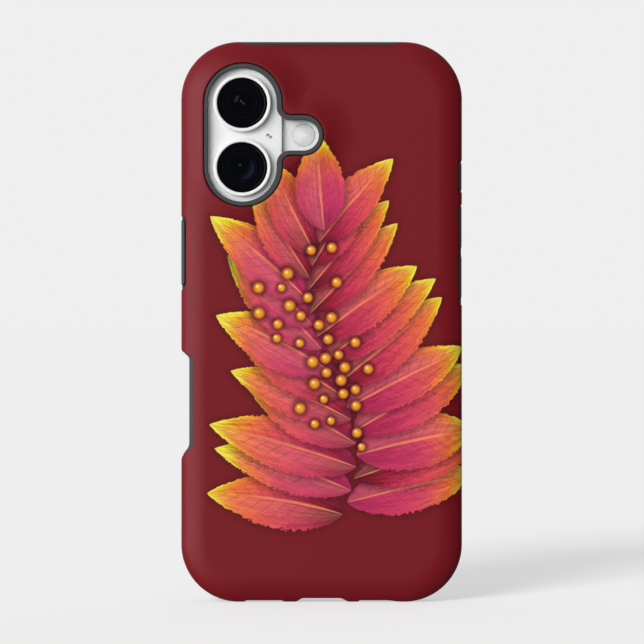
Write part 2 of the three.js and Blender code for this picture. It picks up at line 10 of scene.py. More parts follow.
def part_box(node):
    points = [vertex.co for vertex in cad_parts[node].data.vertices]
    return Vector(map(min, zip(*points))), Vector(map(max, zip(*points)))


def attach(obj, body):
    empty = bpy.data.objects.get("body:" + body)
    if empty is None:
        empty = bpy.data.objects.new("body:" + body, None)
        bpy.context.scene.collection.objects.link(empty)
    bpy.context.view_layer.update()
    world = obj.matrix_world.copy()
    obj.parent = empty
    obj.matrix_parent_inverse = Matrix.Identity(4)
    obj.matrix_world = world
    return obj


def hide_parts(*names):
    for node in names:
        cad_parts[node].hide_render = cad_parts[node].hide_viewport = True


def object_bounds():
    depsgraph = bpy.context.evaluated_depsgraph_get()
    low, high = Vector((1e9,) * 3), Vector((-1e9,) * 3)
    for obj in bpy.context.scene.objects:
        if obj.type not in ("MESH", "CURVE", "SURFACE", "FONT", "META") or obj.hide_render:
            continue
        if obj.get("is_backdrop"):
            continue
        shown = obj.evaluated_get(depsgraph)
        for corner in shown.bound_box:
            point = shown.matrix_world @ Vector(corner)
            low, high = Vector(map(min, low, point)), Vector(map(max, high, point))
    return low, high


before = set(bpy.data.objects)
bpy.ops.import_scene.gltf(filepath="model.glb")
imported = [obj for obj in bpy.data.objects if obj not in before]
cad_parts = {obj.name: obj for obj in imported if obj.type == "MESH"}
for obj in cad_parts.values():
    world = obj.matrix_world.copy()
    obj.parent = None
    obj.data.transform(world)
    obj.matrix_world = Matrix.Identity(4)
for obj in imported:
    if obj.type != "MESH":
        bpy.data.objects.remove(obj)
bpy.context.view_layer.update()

# ---------------------------------------------------------------- camera
# A long lens, level and square to the case's back, so that hardly any of its sides shows.

view_width = 0.17543  # what the view takes in across, at the case's back
view_distance = 0.9
back_plane = -0.00155

camera = bpy.data.objects.new("camera", bpy.data.cameras.new("camera"))
camera.data.lens = camera.data.sensor_width * view_distance / view_width
camera.data.clip_start = 0.05
camera.data.clip_end = 100
camera.location = (0.0001, back_plane - view_distance, 0.07616)
camera.rotation_euler = (math.radians(90), 0, 0)
bpy.context.scene.collection.objects.link(camera)
bpy.context.scene.camera = camera

# ---------------------------------------------------------------- light
# A pale backdrop in a room that is bright on the left and dark on the right. A wide soft lamp, nearly
# level and far off on the camera's left, lights the object. A narrower and higher one lights only
# the floor, where it lays the object's long faint shadow to the right.

room_light = 0.863
left_light, right_light, ceiling_light, front_light, low_light = 1.1, 0.03, 0.45, 0.1, 0.2


def feed(socket, value):
    """Sets a node's socket, or links it when the value is another node's output."""
    if isinstance(value, bpy.types.NodeSocket):
        socket.id_data.links.new(value, socket)
    else:
        socket.default_value = value


def tree_of(values):
    """The node tree that the first output among some values belongs to."""
    return next(value.id_data for value in values if isinstance(value, bpy.types.NodeSocket))


def add_node(kind, values={}, tree=None, **settings):
    """A node in a given tree, or else in the one that its values come from."""
    made = (tree or tree_of(values.values())).nodes.new("ShaderNode" + kind)
    for name, value in settings.items():
        setattr(made, name, value)
    for name, value in values.items():
        feed(made.inputs[name], value)
    return made


def split(place):
    """The outputs X, Y and Z of a place."""
    return add_node("SeparateXYZ", {0: place}).outputs


def between(factor, first, second, kind="RGBA", blend="MIX"):
    """One colour or number mixed with another."""
    values = (factor, first, second)
    made = add_node("Mix", tree=tree_of(values), data_type=kind, blend_type=blend)
    for socket, value in zip([socket for socket in made.inputs if socket.enabled], values):
        feed(socket, value)
    return next(socket for socket in made.outputs if socket.enabled)


def faded(value, start, end, low=0.0, high=1.0):
    """A smooth change from low to high as a value goes from start to end."""
    values = {"Value": value, "From Min": start, "From Max": end, "To Min": low, "To Max": high}
    return add_node("MapRange", values, interpolation_type="SMOOTHSTEP").outputs[0]


bpy.context.scene.view_settings.view_transform = "Standard"
world = bpy.data.worlds.new("room")
world.use_nodes = True
bpy.context.scene.world = world
direction = split(add_node("TexCoord", tree=world.node_tree).outputs["Generated"])
light = left_light
for axis, start, end, level in (
    ("X", -0.3, 0.3, right_light), ("Z", 0.25, 0.9, ceiling_light), ("Y", -0.8, -0.95, front_light),
    ("Y", 0.35, 0.65, room_light), ("Z", 0.0, -0.1, low_light),
):
    light = between(faded(direction[axis], start, end), light, level, "FLOAT")
feed(world.node_tree.nodes["Background"].inputs["Color"], light)


def far_lamp(name, strength, width, height, side):
    """A lamp so far off that its light falls one way; its width and direction are in degrees."""
    lamp = bpy.data.objects.new(name, bpy.data.lights.new(name, "SUN"))
    lamp.data.energy, lamp.data.angle = strength, math.radians(width)
    up, turn = math.radians(height), math.radians(side)
    ray = Vector((math.sin(turn) * math.cos(up), math.cos(turn) * math.cos(up), -math.sin(up)))
    lamp.rotation_mode = "QUATERNION"
    lamp.rotation_quaternion = ray.to_track_quat("-Z", "Y")
    bpy.context.scene.collection.objects.link(lamp)
    return lamp


soft_lamp = far_lamp("soft_lamp", 4.55, 56, 2, 38)
floor_lamp = far_lamp("floor_lamp", 4.6, 22, 25, 27)

# ---------------------------------------------------------------- floor
# One matt sheet that also glows a little, so that it runs on past the horizon as pale as the room.

floor_size = 60
floor_colour = 0.3
floor_glow = 0.508

floor_mesh = bpy.data.meshes.new("floor")
corners = [(-1, -1), (1, -1), (1, 1), (-1, 1)]
floor_mesh.from_pydata([(x * floor_size, y * floor_size, 0) for x, y in corners], [], [(0, 1, 2, 3)])
floor = bpy.data.objects.new("floor", floor_mesh)
bpy.context.scene.collection.objects.link(floor)
floor_material = bpy.data.materials.new("floor")
floor_material.use_nodes = True
tree = floor_material.node_tree
tree.nodes.remove(tree.nodes["Principled BSDF"])
matt = add_node("BsdfDiffuse", {"Color": (floor_colour, floor_colour, floor_colour, 1)}, tree)
glow = add_node("Emission", {"Strength": floor_glow}, tree)
both = add_node("AddShader", {0: matt.outputs[0], 1: glow.outputs[0]})
feed(tree.nodes["Material Output"].inputs["Surface"], both.outputs[0])
floor_mesh.materials.append(floor_material)
floor.visible_diffuse = floor.visible_glossy = False
for lamp, state in ((floor_lamp, "INCLUDE"), (soft_lamp, "EXCLUDE")):
    lit = bpy.data.collections.new(f"{lamp.name}_receivers")
    lit.objects.link(floor)
    lit.collection_objects[0].light_linking.link_state = state
    lamp.light_linking.receiver_collection = lit
floor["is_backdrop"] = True

# ---------------------------------------------------------------- printed shell
# The hard outer layer, a maroon moulding. Its plan is cut into triangles along rows that follow
# its edge, its window and the dips in its edge, and each corner gets its height from a formula.
# Plans are in millimetres: x to the right, z up; heights are along y, towards the screen.

case_half, _, case_height = np.array(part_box("outer_shell")[1]) * 1000
case_corner = 15.7
shell_wall, shell_back, shell_floor, shell_front = 0.9, -4.95, -3.8, 3.5
round_wide, round_deep = 7, 3  # the back's rounded edge
front_edge = 0.24
smooth_turn = 0.75  # the cosine up to which a wall is shaded as one curve

pill_x, pill_low, pill_high, pill_half = -21.25, 118.15, 135.7, 10.65
lobe_x, lobe_z, lobe_half = -4.95, 126.85, 5.5
window_hollow, boss_hollow = 2.2, 6
window_edge, dip_edge = 0.4, 0.22  # how far those edges are rounded
boss_high, boss_flat, boss_foot = 1.15, 0.8, 9
pocket_high, pocket_wall, pocket_foot = 1.2, 2.45, 3.2

# Dips: the edge they are in, from and to along it, depth, and the lengths of the two ramps.
camera_button_dip = ("left", 38.4, 68.9, 3.3, 5.2, 3)
top_dip = ("top", -22.2, 21.9, 0.93, 2.5, 2.5)
shell_dips = [
    camera_button_dip,
    ("left", 84.7, 105, 1.25, 0.6, 0.6),
    top_dip,
    ("right", 80.5, 108.3, 0.55, 0.8, 0.8),
    ("right", 111.2, 120.3, 0.55, 0.8, 0.8),
    ("right", 82.1, 94.6, 1.0, 0.3, 0.3),
    ("right", 95.7, 108.2, 1.0, 0.3, 0.3),
    ("right", 111.4, 119.9, 1.0, 0.3, 0.3),
]
bottom_dips = [
    ("bottom", -21.4, -9.9, 0.46, 1.2, 1.2),
    ("bottom", -7.6, 8.1, 1.09, 2.9, 3.6),
    ("bottom", 9.6, 22.4, 0.46, 1, 5.4),
]
# Ports in the bottom edge: middle, half width, back, and the radius of the corners.
ports = [(0, 6.6, -1.1, 1.6), (-15.7, 5.2, -0.6, 1.6), (15.7, 5.2, -0.6, 1.6)]


def arc(x, z, radius, start, end, steps):
    """Points on an arc, its angles in degrees."""
    turn = np.radians(np.linspace(start, end, steps + 1))
    return [(x + radius * math.cos(t), z + radius * math.sin(t)) for t in turn]


def rounded_box(left, low, right, high, radius, steps=6):
    left, low, right, high = left + radius, low + radius, right - radius, high - radius
    middles = [(right, high), (left, high), (left, low), (right, low)]
    corners = [arc(*middle, radius, 90 * k, 90 * (k + 1), steps) for k, middle in enumerate(middles)]
    return sum(corners, [])


def case_outline(inset, corner=case_corner):
    edges = (inset - case_half, inset, case_half - inset, case_height - inset)
    return rounded_box(*edges, corner - inset, 18)


def window_outline(grow, hollow, x=pill_x, steps=24):
    """The camera window: an upright pill with a lobe for the flash on its right."""
    half, reach, inner = pill_half + grow, lobe_half + grow, max(hollow - grow, 0.3)
    corner = x + half + inner
    return (
        arc(x, pill_low, half, 180, 360, steps)
        + arc(corner, lobe_z - reach - inner, inner, 180, 90, steps // 3)
        + arc(lobe_x, lobe_z, reach, -90, 90, steps)
        + arc(corner, lobe_z + reach + inner, inner, 270, 180, steps // 3)
        + arc(x, pill_high, half, 0, 180, steps)
    )


def dip_path(edge, start, end, depth, ramp_start, ramp_end, steps=14):
    """The line of a dip in one edge of the case: an S-shaped ramp down, a flat and a ramp up."""
    place = {
        "bottom": lambda along, inwards: (along, inwards),
        "top": lambda along, inwards: (along, case_height - inwards),
        "left": lambda along, inwards: (inwards - case_half, along),
        "right": lambda along, inwards: (case_half - inwards, along),
    }[edge]
    path = []
    for first, last, low, high in (
        (start, start + ramp_start, 0, depth),
        (end - ramp_end, end, depth, 0),
    ):
        for t in np.linspace(0, 1, steps + 1):
            along = first + (last - first) * (1.5 * t * (1 - t) + t**3)
            path.append(place(along, low + (high - low) * t * t * (3 - 2 * t)))
    return path


def dip_outline(dip):
    """A closed outline that cuts the dip out of the case, from outside its edge."""
    path = dip_path(*dip)
    (ax, az), (bx, bz) = path[0], path[-1]
    out = {"bottom": (0, -2), "top": (0, 2), "left": (-2, 0), "right": (2, 0)}[dip[0]]
    return path + [(bx + out[0], bz + out[1]), (ax + out[0], az + out[1])]


def moved_inwards(path, distance):
    """The same line, pushed into the case."""
    points = np.array(path)
    along = np.gradient(points, axis=0)
    normal = np.stack([-along[:, 1], along[:, 0]], 1)
    normal /= np.linalg.norm(normal, axis=1)[:, None] + 1e-9
    middle = np.array([0, case_height / 2])
    if np.sum((middle - points.mean(0)) * normal.mean(0)) < 0:
        normal = -normal
    return [tuple(p) for p in points + normal * distance]


def inset_of(x, z):
    """How far a place in the plan is in from the case's edge."""
    qx = np.abs(x) - (case_half - case_corner)
    qz = np.abs(z - case_height / 2) - (case_height / 2 - case_corner)
    outside = np.hypot(np.maximum(qx, 0), np.maximum(qz, 0))
    return case_corner - outside - np.minimum(np.maximum(qx, qz), 0)


def window_distance(x, z, hollow):
    """How far a place in the plan is from the window, its two inner corners rounded."""
    pill = np.hypot(x - pill_x, z - np.clip(z, pill_low, pill_high)) - pill_half
    lobe = np.hypot(x - np.clip(x, pill_x, lobe_x), z - lobe_z) - lobe_half
    corner = np.hypot(np.maximum(hollow - pill, 0), np.maximum(hollow - lobe, 0))
    return np.maximum(hollow, np.minimum(pill, lobe)) - corner


def line_distance(x, z, paths):
    """How far places in the plan are from the nearest of some lines."""
    place = np.stack([x, z], 1)[:, None, :]
    nearest = np.full(len(x), 1e9)
    for path in paths:
        points = np.array(path)
        a, b = points[:-1][None], points[1:][None]
        along = np.sum((place - a) * (b - a), 2) / (np.sum((b - a) ** 2, 2) + 1e-12)
        foot = a + np.clip(along, 0, 1)[..., None] * (b - a)
        nearest = np.minimum(nearest, np.linalg.norm(place - foot, axis=2).min(1))
    return nearest


def in_outline(x, z, outline):
    """Which places in the plan are inside a closed outline."""
    inside = np.zeros(len(x), bool)
    for (ax, az), (bx, bz) in zip(outline, outline[1:] + outline[:1]):
        if az == bz:
            continue
        crosses = (az > z) != (bz > z)
        inside ^= crosses & (x < ax + (z - az) * (bx - ax) / (bz - az))
    return inside


def smooth_step(low, high, value):
    t = np.clip((value - low) / (high - low), 0, 1)
    return t * t * (3 - 2 * t)


def rounded_edge(distance, radius):
    """How far a surface falls away towards a rounded edge."""
    left = np.clip(radius - distance, 0, radius)
    return radius - np.sqrt(radius**2 - left**2)


def shell_outer(x, z):
    """The shell's outer surface."""
    across = np.clip((round_wide - inset_of(x, z)) / round_wide, 0, 1)
    y = shell_back + round_deep * (1 - np.sqrt(1 - across**2))
    away = (window_distance(x, z, boss_hollow) - boss_flat) / (boss_foot - boss_flat)
    y -= boss_high * (1 - np.clip(away, 0, 1)) ** 2
    y += rounded_edge(window_distance(x, z, window_hollow), window_edge)
    return y + rounded_edge(line_distance(x, z, dip_paths), dip_edge)


def shell_inner(x, z):
    """The shell's surface over the liner, past its side walls."""
    inner_wide = round_wide - shell_wall
    across = np.clip((round_wide - inset_of(x, z)) / inner_wide, 0, 1)
    inner_deep = shell_back + round_deep - shell_floor
    y = shell_floor + inner_deep * (1 - np.sqrt(1 - across**2))
    away = smooth_step(pocket_wall, pocket_foot, window_distance(x, z, window_hollow))
    return y - pocket_high * (1 - away)


def port_floor(x):
    """How deep the port that a place along the bottom edge is in cuts the shell's wall."""
    y = np.full(len(x), shell_front)
    for middle, half, back, radius in ports:
        across = np.abs(x - middle)
        inside = across <= half + 1e-6
        y[inside] = (back + rounded_edge(half - across, radius))[inside]
    return y


def surface_normals(height, x, z, step=0.002):
    """Normals of a height field, facing the back."""
    slope_x = (height(x + step, z) - height(x - step, z)) / (2 * step)
    slope_z = (height(x, z + step) - height(x, z - step)) / (2 * step)
    normals = np.stack([slope_x, -np.ones(len(x)), slope_z], 1)
    return normals / np.linalg.norm(normals, axis=1)[:, None]


all_shell_dips = shell_dips + bottom_dips
dip_paths = [dip_path(*dip) for dip in all_shell_dips]
edge_rows = [round_wide * (1 - math.cos(math.radians(t))) for t in np.arange(0, 91, 7.5)]
closed_rows = [case_outline(inset) for inset in edge_rows + [shell_wall, round_wide + 1.5]]
closed_rows += [window_outline(d, window_hollow) for d in (0, 0.06, 0.2, window_edge)]
closed_rows += [
    window_outline(d, boss_hollow) for d in (*np.arange(boss_flat, boss_foot, 0.6), boss_foot + 0.3)
]
closed_rows += [dip_outline(dip) for dip in all_shell_dips]
open_rows = [
    moved_inwards(path, distance)
    for path in dip_paths
    for distance in (dip_edge * 0.25, dip_edge)
]
for middle, half, _, radius in ports:
    for side in (-1, 1):
        for turn in np.radians(np.arange(0, 91, 18)):
            x = middle + side * (half - radius * (1 - math.sin(turn)))
            open_rows.append([(x, -1), (x, shell_wall)])

plan_points, plan_edges = [], []
for row, closed in [(r, True) for r in closed_rows] + [(r, False) for r in open_rows]:
    first, count = len(plan_points), len(row)
    plan_points += [Vector(point) for point in row]
    plan_edges += [(first + k, first + (k + 1) % count) for k in range(count if closed else count - 1)]
plan_points, _, triangles, *_ = delaunay_2d_cdt(plan_points, plan_edges, [], 0, 1e-4, False)
plan = np.array([tuple(point) for point in plan_points], float)
triangles = np.array([tuple(t) for t in triangles])
middle_x, middle_z = plan[triangles].mean(1).T
inset = inset_of(middle_x, middle_z)
kept = (inset > 0) & (window_distance(middle_x, middle_z, window_hollow) > 0)
for dip in all_shell_dips:
    kept &= ~in_outline(middle_x, middle_z, dip_outline(dip))
ax, az = (plan[triangles[:, 1]] - plan[triangles[:, 0]]).T
bx, bz = (plan[triangles[:, 2]] - plan[triangles[:, 0]]).T
double_area = ax * bz - az * bx
kept &= np.abs(double_area) > 1e-9
triangles = np.where(double_area[:, None] > 0, triangles, triangles[:, ::-1])
in_port = (port_floor(middle_x) < shell_front) & (middle_z < shell_wall)
level_of = np.where(inset > shell_wall, "inner", np.where(in_port, "port", "front"))
triangles, level_of = triangles[kept], level_of[kept]

x, z = plan.T
heights = {
    "outer": shell_outer(x, z),
    "inner": shell_inner(x, z),
    "front": shell_front - rounded_edge(inset_of(x, z), front_edge),
    "port": port_floor(x),
}
outer_normals = surface_normals(shell_outer, x, z)

corners, corner_at, faces, face_normals = [], {}, [], []


def corner(level, point):
    if (level, point) not in corner_at:
        corner_at[level, point] = len(corners)
        corners.append((plan[point, 0], heights[level][point], plan[point, 1]))
    return corner_at[level, point]


sides = {}
for triangle, level in zip(triangles.tolist(), level_of):
    a, b, c = triangle
    faces.append([corner("outer", p) for p in (a, b, c)])
    face_normals.append([outer_normals[p] for p in (a, b, c)])
    faces.append([corner(level, p) for p in (a, c, b)])
    face_normals.append(None)
    for edge in ((a, b), (b, c), (c, a)):
        sides[edge] = level

rims = {
    (a, b): np.array([plan[b, 1] - plan[a, 1], plan[a, 0] - plan[b, 0]])
    for a, b in sides if (b, a) not in sides
}
point_normals = np.zeros((len(plan), 2))
for (a, b), normal in rims.items():
    point_normals[a] += normal
    point_normals[b] += normal


def wall_corners(point, low, high):
    """The corners up a wall above one point of the plan, from one level to another."""
    passed = [
        level for level in ("outer", "inner", "port", "front")
        if (level, point) in corner_at
        and heights[low][point] + 1e-6 < heights[level][point] < heights[high][point] - 1e-6
    ]
    passed.sort(key=lambda level: heights[level][point])
    return [corner(level, point) for level in (low, *passed, high)]


for (a, b), level in sides.items():
    across = sides.get((b, a), "outer")
    low, high = heights[across], heights[level]
    if across == level or high[a] + high[b] < low[a] + low[b]:
        continue
    wall = {a: wall_corners(a, across, level), b: wall_corners(b, across, level)[::-1]}
    faces.append(wall[a] + wall[b])
    if (a, b) not in rims:
        face_normals.append(None)
        continue
    flat = rims[a, b] / np.linalg.norm(rims[a, b])
    normals = []
    for point in (a, b):
        soft = point_normals[point] / (np.linalg.norm(point_normals[point]) + 1e-12)
        chosen = soft if soft @ flat > smooth_turn else flat
        normals += [np.array([chosen[0], 0, chosen[1]])] * len(wall[point])
    face_normals.append(normals)


def new_object(name, corners, faces, scale=0.001):
    mesh = bpy.data.meshes.new(name)
    mesh.from_pydata([tuple(c * scale for c in corner) for corner in corners], [], faces)
    mesh.shade_smooth()
    made = bpy.data.objects.new(name, mesh)
    bpy.context.scene.collection.objects.link(made)
    return made


printed_shell = new_object("printed_shell", corners, faces)
mesh = printed_shell.data
mesh.update()
loop_normals = []
for polygon, normals in zip(mesh.polygons, face_normals):
    loop_normals += [tuple(n) for n in normals] if normals else [tuple(polygon.normal)] * polygon.loop_total
mesh.normals_split_custom_set(loop_normals)

# The print: leaves in crimson, coral and yellow along one bowed stem, with golden berries.
ground = (0.173, 0.0065, 0.012, 1)
side_wrap = 0.75  # how far the print moves out for each millimetre that the shell's side falls away
spray_low, spray_high = 27, 104
stem_middle, stem_swing, stem_start, stem_wave = 3, 6.5, 18, 88
leaf_count, top_leaf_spread = 25, 0.12
# Of the lowest leaf, and how much less it is at the top: spread in degrees, length and width.
leaf_spread, less_spread = 76, 46
leaf_length, less_length = 39, 12
leaf_width, less_width = 7.6, 1.4
leaf_colours = [
    (0.0, (0.085, 0.002, 0.010)), (0.16, (0.30, 0.008, 0.035)), (0.36, (0.56, 0.036, 0.085)),
    (0.58, (0.72, 0.085, 0.075)), (0.76, (0.78, 0.15, 0.04)), (0.88, (0.80, 0.32, 0.02)),
    (0.93, (0.79, 0.62, 0.02)), (1.0, (0.86, 0.80, 0.06)),
]
berry_count, berry_spacing = 34, 3.4
berry_low, berry_middle, berry_high = 36, 66, 100
berry_spread_up, berry_spread_across = 15, 5.5
berry_colours = [
    (0.0, (0.80, 0.42, 0.03)), (0.45, (0.76, 0.33, 0.02)), (0.75, (0.58, 0.13, 0.012)),
    (0.97, (0.27, 0.015, 0.012)),
]


def calculate(operation, *values):
    return add_node("Math", dict(enumerate(values)), operation=operation).outputs[0]


def plus(first, second):
    return calculate("ADD", first, second)


def minus(first, second):
    return calculate("SUBTRACT", first, second)


def times(first, second):
    return calculate("MULTIPLY", first, second)


def held_between(value, low, high):
    return calculate("MINIMUM", calculate("MAXIMUM", value, low), high)


def straight_line(x, z):
    """The length of a step of x across and z up."""
    squares = [calculate("POWER", value, 2.0) for value in (x, z)]
    return calculate("SQRT", plus(*squares))


def noise(place, scale, detail, roughness=0.5):
    values = {"Vector": place, "Scale": scale, "Detail": detail, "Roughness": roughness}
    return add_node("TexNoise", values).outputs[0]


def distance_to(place, spot):
    return add_node("VectorMath", {0: place, 1: spot}, operation="DISTANCE").outputs["Value"]


def grey(value):
    return add_node("CombineColor", {0: value, 1: value, 2: value}).outputs[0]


def colour_along(value, stops):
    """A colour that changes through (place, colour) stops as a value grows."""
    ramp = add_node("ValToRGB", {0: value})
    while len(ramp.color_ramp.elements) < len(stops):
        ramp.color_ramp.elements.new(0.5)
    for element, (position, colour) in zip(ramp.color_ramp.elements, stops):
        element.position = position
        element.color = (*colour, 1)
    return ramp.outputs["Color"]


def new_material(name, **look):
    """A material, its shader and the place in millimetres."""
    material = bpy.data.materials.new(name)
    material.use_nodes = True
    shader = material.node_tree.nodes["Principled BSDF"]
    for socket, value in look.items():
        shader.inputs[socket.replace("_", " ")].default_value = value
    place = add_node("TexCoord", tree=material.node_tree).outputs["Object"]
    scaled = add_node("VectorMath", {0: place, "Scale": 1000}, operation="SCALE").outputs[0]
    return material, shader, scaled


def paint(shader, colour):
    feed(shader.inputs["Base Color"], colour)


def add_bump(shader, height, distance):
    """Fine relief; the distance is in metres."""
    bump = add_node("Bump", {"Height": height, "Distance": distance})
    feed(shader.inputs["Normal"], bump.outputs[0])


carried = ("Along", "Across", "Number", "Shade", "Cover")


def leaf_group():
    """Lays one leaf over those before it: where it lies, its own place along and across it,
    its number and its shade replace theirs, and it throws a soft shadow round itself."""
    tree = bpy.data.node_groups.new("leaf", "ShaderNodeTree")
    own = ("X", "Z", "Ragged", "Base X", "Base Z", "Turn", "Length", "Width", "Bend", "Leaf")
    for name in carried + own:
        tree.interface.new_socket(name, in_out="INPUT", socket_type="NodeSocketFloat")
    for name in carried:
        tree.interface.new_socket(name, in_out="OUTPUT", socket_type="NodeSocketFloat")
    given = tree.nodes.new("NodeGroupInput").outputs
    result = tree.nodes.new("NodeGroupOutput").inputs
    x = minus(given["X"], given["Base X"])
    z = minus(given["Z"], given["Base Z"])
    cos = calculate("COSINE", given["Turn"])
    sin = calculate("SINE", given["Turn"])
    forward = plus(times(x, cos), times(z, sin))
    aside = minus(times(z, cos), times(x, sin))
    along = calculate("DIVIDE", forward, given["Length"])
    held = held_between(along, 0.0, 1.0)
    bow = times(times(along, along), given["Bend"])
    aside = minus(aside, bow)
    swell = calculate("SINE", times(calculate("POWER", held, 0.82), math.pi))
    swell = calculate("POWER", calculate("MAXIMUM", swell, 0.0), 0.8)
    half = times(times(swell, given["Width"]), given["Ragged"])
    half = calculate("MAXIMUM", half, 0.05)
    over = times(calculate("ABSOLUTE", minus(along, held)), given["Length"])
    distance = plus(minus(calculate("ABSOLUTE", aside), half), over)
    lies = faded(distance, 0.12, -0.12)
    shadow = faded(distance, -0.4, 2.6, 0.42, 1.0)
    own_values = {
        "Along": held,
        "Across": calculate("DIVIDE", aside, half),
        "Number": given["Leaf"],
        "Shade": 1.0,
        "Cover": 1.0,
    }
    for name, value in own_values.items():
        before = given[name]
        if name == "Shade":
            before = times(before, shadow)
        feed(result[name], between(lies, before, value, "FLOAT"))
    return tree


shell_material, shader, place = new_material("printed_shell", Roughness=0.42, Specular_IOR_Level=0.15)
apart = split(place)
# The print wraps on round the case's sides: a place further forward counts as further out.
forward = calculate("MAXIMUM", minus(apart["Y"], shell_back), 0.0)
outwards = times(calculate("SIGN", apart["X"]), times(forward, side_wrap))
print_x = plus(apart["X"], outwards)
print_z = apart["Z"]
flat_place = add_node("CombineXYZ", {"X": print_x, "Y": print_z}).outputs[0]

rng = random.Random(7)
ragged = noise(flat_place, 0.9, 4.0)
values = {
    "X": print_x,
    "Z": print_z,
    "Ragged": faded(ragged, 0.25, 0.75, 0.92, 1.08),
    "Along": 0.0, "Across": 0.0, "Number": 0.0, "Shade": 1.0, "Cover": 0.0,
}


def stem_x(z):
    """The bowed stem's place across the case at a height."""
    return stem_middle + stem_swing * math.sin((z - stem_start) / stem_wave * 2 * math.pi)


leaf_shape = leaf_group()
for number in range(leaf_count):
    rise = number / (leaf_count - 1)
    side = 1 if number % 2 else -1
    base_z = spray_low + (spray_high - spray_low) * rise - 3
    spread = top_leaf_spread
    if number < leaf_count - 1:
        spread = math.radians(leaf_spread - less_spread * rise + rng.uniform(-7, 7))
    values.update({
        "Base X": stem_x(base_z),
        "Base Z": base_z,
        "Turn": math.pi / 2 - side * spread,
        "Length": leaf_length - less_length * rise**2 + rng.uniform(-3, 3),
        "Width": leaf_width - less_width * rise + rng.uniform(-0.7, 0.7),
        "Bend": side * rng.uniform(-5.5, 1.5),
        "Leaf": float(number + 1),
    })
    leaf = add_node("Group", values, node_tree=leaf_shape)
    for name in carried:
        values[name] = leaf.outputs[name]
along, across, number = values["Along"], values["Across"], values["Number"]
off_rib = calculate("ABSOLUTE", across)

# Paint: streaks that run along each leaf, a pale rib, side veins and a ragged yellow tip.
grain_place = add_node("CombineXYZ", {
    "X": times(along, 3.2),
    "Y": times(across, 7.0),
    "Z": times(number, 3.7),
}).outputs[0]
streak = noise(grain_place, 1.6, 6.0, 0.62)
chance = add_node("TexWhiteNoise", {"W": number}, noise_dimensions="1D").outputs["Value"]
reach = calculate("MULTIPLY_ADD", minus(streak, 0.5), 0.34, along)
reach = calculate("MULTIPLY_ADD", calculate("POWER", off_rib, 3.0), 0.10, reach)
reach = calculate("MULTIPLY_ADD", minus(chance, 0.5), 0.10, reach)
colour = colour_along(reach, leaf_colours)
pinker = times(faded(chance, 0.3, 0.9), faded(reach, 0.85, 0.5, 0.0, 0.55))
colour = between(pinker, colour, (0.52, 0.03, 0.14, 1))
lit_half = times(faded(across, -0.1, 0.25), faded(off_rib, 1.0, 0.2, 0.02, 0.16))
colour = between(lit_half, colour, (0.95, 0.38, 0.28, 1))
wave = minus(times(along, 11.0), times(off_rib, 1.6))
vein = calculate("ABSOLUTE", minus(calculate("FRACT", wave), 0.5))
vein = times(faded(vein, 0.13, 0.0), faded(off_rib, 0.95, 0.3, 0.0, 0.30))
colour = between(vein, colour, (0.27, 0.006, 0.03, 1))
rib = times(faded(off_rib, 0.075, 0.02), faded(along, 0.95, 0.6, 0.0, 0.75))
colour = between(rib, colour, (0.86, 0.25, 0.12, 1))
fine = faded(streak, 0.3, 0.7, 0.80, 1.14)
shaded = times(values["Shade"], fine)
colour = between(1.0, colour, grey(shaded), blend="MULTIPLY")
dimmed = between(1.0, ground, grey(values["Shade"]), blend="MULTIPLY")
ground_colour = between(0.6, ground, dimmed)
colour = between(values["Cover"], ground_colour, colour)

# Golden berries lie over the middle of the stem, each with an orange rim and a pale glint.
berry_places = []
while len(berry_places) < berry_count:
    z = rng.gauss(berry_middle, berry_spread_up)
    spot = (stem_x(z) + rng.gauss(0, berry_spread_across), z)
    apart_enough = all(math.dist(spot, other) > berry_spacing for other in berry_places)
    if apart_enough and berry_low < z < berry_high:
        berry_places.append(spot)
nearest, glint = 9.0, 9.0
for x, z in berry_places:
    offset = times(distance_to(flat_place, (x, z, 0)), 1 / rng.uniform(1.15, 1.75))
    nearest = calculate("MINIMUM", nearest, offset)
    glint = calculate("MINIMUM", glint, distance_to(flat_place, (x - 0.35, z + 0.4, 0)))
round_shadow = faded(nearest, 0.9, 2.0, 0.35, 1.0)
colour = between(1.0, colour, grey(round_shadow), blend="MULTIPLY")
golden = colour_along(nearest, berry_colours)
berry = between(faded(glint, 0.6, 0.1, 0.0, 0.85), golden, (0.95, 0.78, 0.30, 1))
colour = between(faded(nearest, 1.04, 0.94), colour, berry)


def from_pill_line(apart, line_x):
    """How far a place is from the upright line down the middle of the pill under the lenses."""
    beside = minus(apart["Z"], held_between(apart["Z"], pill_low, pill_high))
    return straight_line(minus(apart["X"], line_x), beside)


# Painted shade: along the window's rounded edge the print fades into a near-black band, a painted dark line
# where shade falls beside the collar.
lobe_off_x = minus(apart["X"], held_between(apart["X"], pill_x, lobe_x))
lobe_away = straight_line(lobe_off_x, minus(apart["Z"], lobe_z))
pill_away = from_pill_line(apart, pill_x)
from_window = calculate("MINIMUM", minus(pill_away, pill_half), minus(lobe_away, lobe_half))
colour = between(faded(from_window, 0.45, 0.05, 0.0, 0.85), colour, (0.03, 0.002, 0.003, 1))
paint(shader, colour)
pores = noise(place, 4.5, 3.0)
add_bump(shader, pores, 0.000012)
printed_shell.data.materials.append(shell_material)
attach(printed_shell, "cased_phone")
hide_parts("outer_shell")

# ---------------------------------------------------------------- soft liner
# The dark grey rubber layer inside the shell. It is seen in the window's collar, the button covers,
# the dips and the bumper round the screen. Its solids are stacks of outlines, joined and cut.

